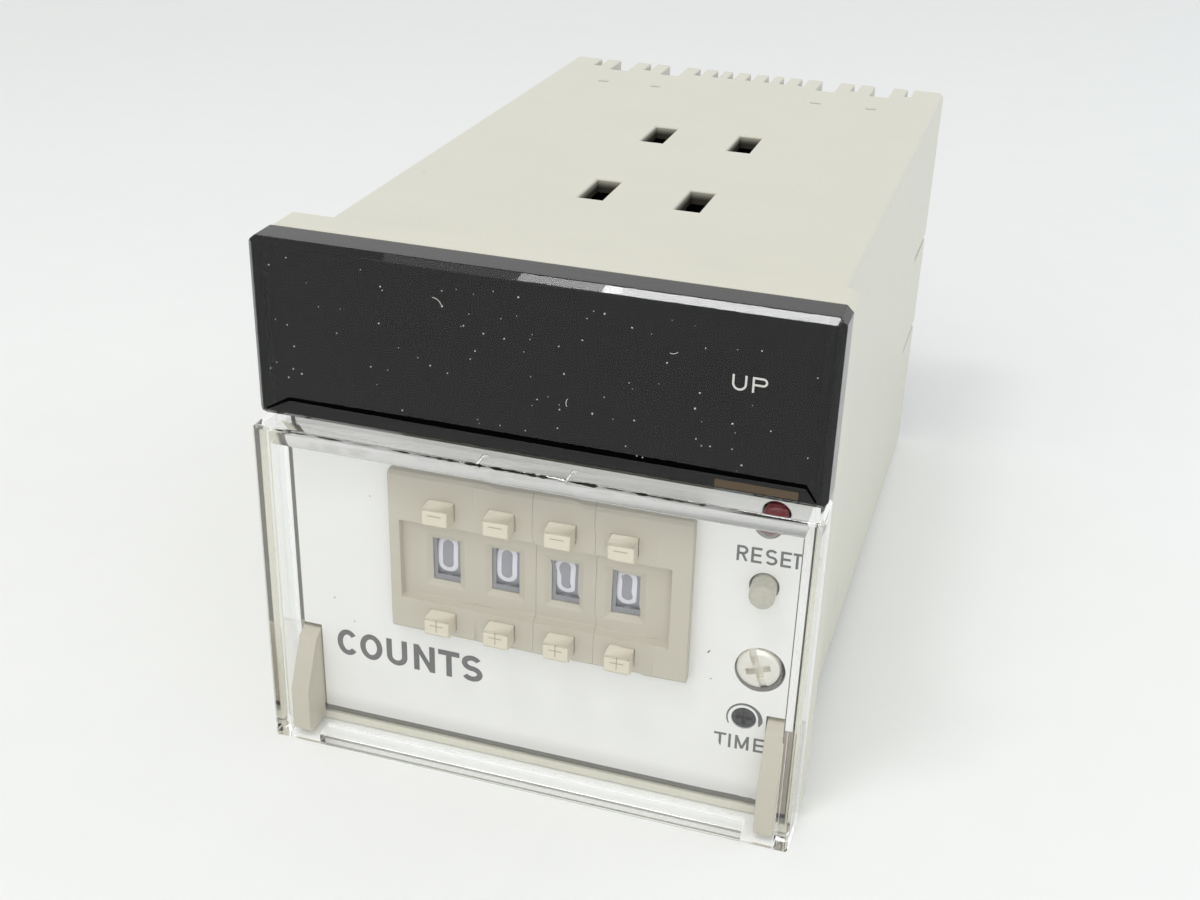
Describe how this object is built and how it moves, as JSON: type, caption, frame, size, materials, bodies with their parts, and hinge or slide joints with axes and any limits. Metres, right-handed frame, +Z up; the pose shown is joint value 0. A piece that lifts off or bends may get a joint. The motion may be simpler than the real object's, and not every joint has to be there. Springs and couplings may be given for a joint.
{
  "type": "panel counter",
  "caption": "Square flush-mount preset counter with a smoked display window, push-wheel digit switch, reset button, time trimmer and hinged clear cover; screw terminals at the rear.",
  "frame": {"origin": "centre of the flange's rear face, on the face of the panel it is fitted to", "axes": "+Y into the panel along the body, +Z up, +X to the right as seen from the front"},
  "size_m": [0.072, 0.1197, 0.072],
  "materials": {
    "case_cream": "satin moulded plastic",
    "arm_cream": "satin moulded plastic",
    "face_white": "smooth printed plate",
    "smoked_acrylic": "polished, dark brown",
    "clear_acrylic": "polished, clear",
    "switch_grey": "fine matt texture",
    "button_cream": "smooth matt",
    "wheel_grey": "matt with white figures",
    "reset_grey": "satin",
    "lamp_red": "glossy translucent red",
    "black_plastic": "matt moulded plastic",
    "circuit_board": "green solder mask",
    "nickel_steel": "nickel plated",
    "core_steel": "stacked laminations",
    "coil_wrap": "copper winding under yellow tape",
    "contact_brass": "plated brass"
  },
  "bodies": {
    "housing": {"case": "case_cream", "chassis": "black_plastic", "faceplate": "face_white", "display_window": "smoked_acrylic", "hinge_arm_left": "arm_cream", "hinge_arm_right": "arm_cream", "switch_end_left": "switch_grey", "switch_end_right": "switch_grey", "switch_tie_rods": "nickel_steel", "digit_module_1": "switch_grey", "digit_module_2": "switch_grey", "digit_module_3": "switch_grey", "digit_module_4": "switch_grey", "contact_board_1": "circuit_board", "contact_board_2": "circuit_board", "contact_board_3": "circuit_board", "contact_board_4": "circuit_board", "reset_switch": "black_plastic", "indicator_lamp": "lamp_red", "lock_screw": "nickel_steel", "trimmer_body": "black_plastic", "control_board": "circuit_board", "display_board": "circuit_board", "digit_display": "black_plastic", "main_board": "circuit_board", "power_board": "circuit_board", "transformer_core": "core_steel", "transformer_coil": "coil_wrap", "output_relay": "case_cream", "smoothing_capacitor": "black_plastic", "upper_connector": "black_plastic", "lower_connector": "black_plastic", "terminal_block": "black_plastic", "terminal_barrier": "black_plastic", "terminal_contacts": "contact_brass", "terminal_screws": "nickel_steel"},
    "cover": {"front_cover": "clear_acrylic"},
    "wheel_1": {"digit_wheel_1": "wheel_grey"},
    "minus_1": {"minus_button_1": "button_cream"},
    "plus_1": {"plus_button_1": "button_cream"},
    "wheel_2": {"digit_wheel_2": "wheel_grey"},
    "minus_2": {"minus_button_2": "button_cream"},
    "plus_2": {"plus_button_2": "button_cream"},
    "wheel_3": {"digit_wheel_3": "wheel_grey"},
    "minus_3": {"minus_button_3": "button_cream"},
    "plus_3": {"plus_button_3": "button_cream"},
    "wheel_4": {"digit_wheel_4": "wheel_grey"},
    "minus_4": {"minus_button_4": "button_cream"},
    "plus_4": {"plus_button_4": "button_cream"},
    "reset": {"reset_button": "reset_grey"},
    "trimmer": {"time_trimmer": "black_plastic"}
  },
  "joints": [
    {"name": "cover_hinge", "type": "hinge", "parent": "housing", "child": "cover", "pos_m": [0, -0.0086, -0.0339], "axis": [1, 0, 0], "range_deg": [0, 90]},
    {"name": "wheel_1_turn", "type": "hinge", "parent": "housing", "child": "wheel_1", "pos_m": [0, 0.0036, -0.0057], "axis": [1, 0, 0], "continuous": true},
    {"name": "minus_1_press", "type": "slide", "parent": "housing", "child": "minus_1", "axis": [0, 1, 0], "range_m": [0, 0.0015], "stiffness_N_per_m": 500, "springref_m": -0.001},
    {"name": "plus_1_press", "type": "slide", "parent": "housing", "child": "plus_1", "axis": [0, 1, 0], "range_m": [0, 0.0015], "stiffness_N_per_m": 500, "springref_m": -0.001},
    {"name": "wheel_2_turn", "type": "hinge", "parent": "housing", "child": "wheel_2", "pos_m": [0, 0.0036, -0.0057], "axis": [1, 0, 0], "continuous": true},
    {"name": "minus_2_press", "type": "slide", "parent": "housing", "child": "minus_2", "axis": [0, 1, 0], "range_m": [0, 0.0015], "stiffness_N_per_m": 500, "springref_m": -0.001},
    {"name": "plus_2_press", "type": "slide", "parent": "housing", "child": "plus_2", "axis": [0, 1, 0], "range_m": [0, 0.0015], "stiffness_N_per_m": 500, "springref_m": -0.001},
    {"name": "wheel_3_turn", "type": "hinge", "parent": "housing", "child": "wheel_3", "pos_m": [0, 0.0036, -0.0057], "axis": [1, 0, 0], "continuous": true},
    {"name": "minus_3_press", "type": "slide", "parent": "housing", "child": "minus_3", "axis": [0, 1, 0], "range_m": [0, 0.0015], "stiffness_N_per_m": 500, "springref_m": -0.001},
    {"name": "plus_3_press", "type": "slide", "parent": "housing", "child": "plus_3", "axis": [0, 1, 0], "range_m": [0, 0.0015], "stiffness_N_per_m": 500, "springref_m": -0.001},
    {"name": "wheel_4_turn", "type": "hinge", "parent": "housing", "child": "wheel_4", "pos_m": [0, 0.0036, -0.0057], "axis": [1, 0, 0], "continuous": true},
    {"name": "minus_4_press", "type": "slide", "parent": "housing", "child": "minus_4", "axis": [0, 1, 0], "range_m": [0, 0.0015], "stiffness_N_per_m": 500, "springref_m": -0.001},
    {"name": "plus_4_press", "type": "slide", "parent": "housing", "child": "plus_4", "axis": [0, 1, 0], "range_m": [0, 0.0015], "stiffness_N_per_m": 500, "springref_m": -0.001},
    {"name": "reset_press", "type": "slide", "parent": "housing", "child": "reset", "axis": [0, 1, 0], "range_m": [0, 0.0008], "stiffness_N_per_m": 1200, "springref_m": -0.0006},
    {"name": "trimmer_turn", "type": "hinge", "parent": "housing", "child": "trimmer", "pos_m": [0.02815, 0, -0.02115], "axis": [0, 1, 0], "range_deg": [-130, 130]}
  ]
}
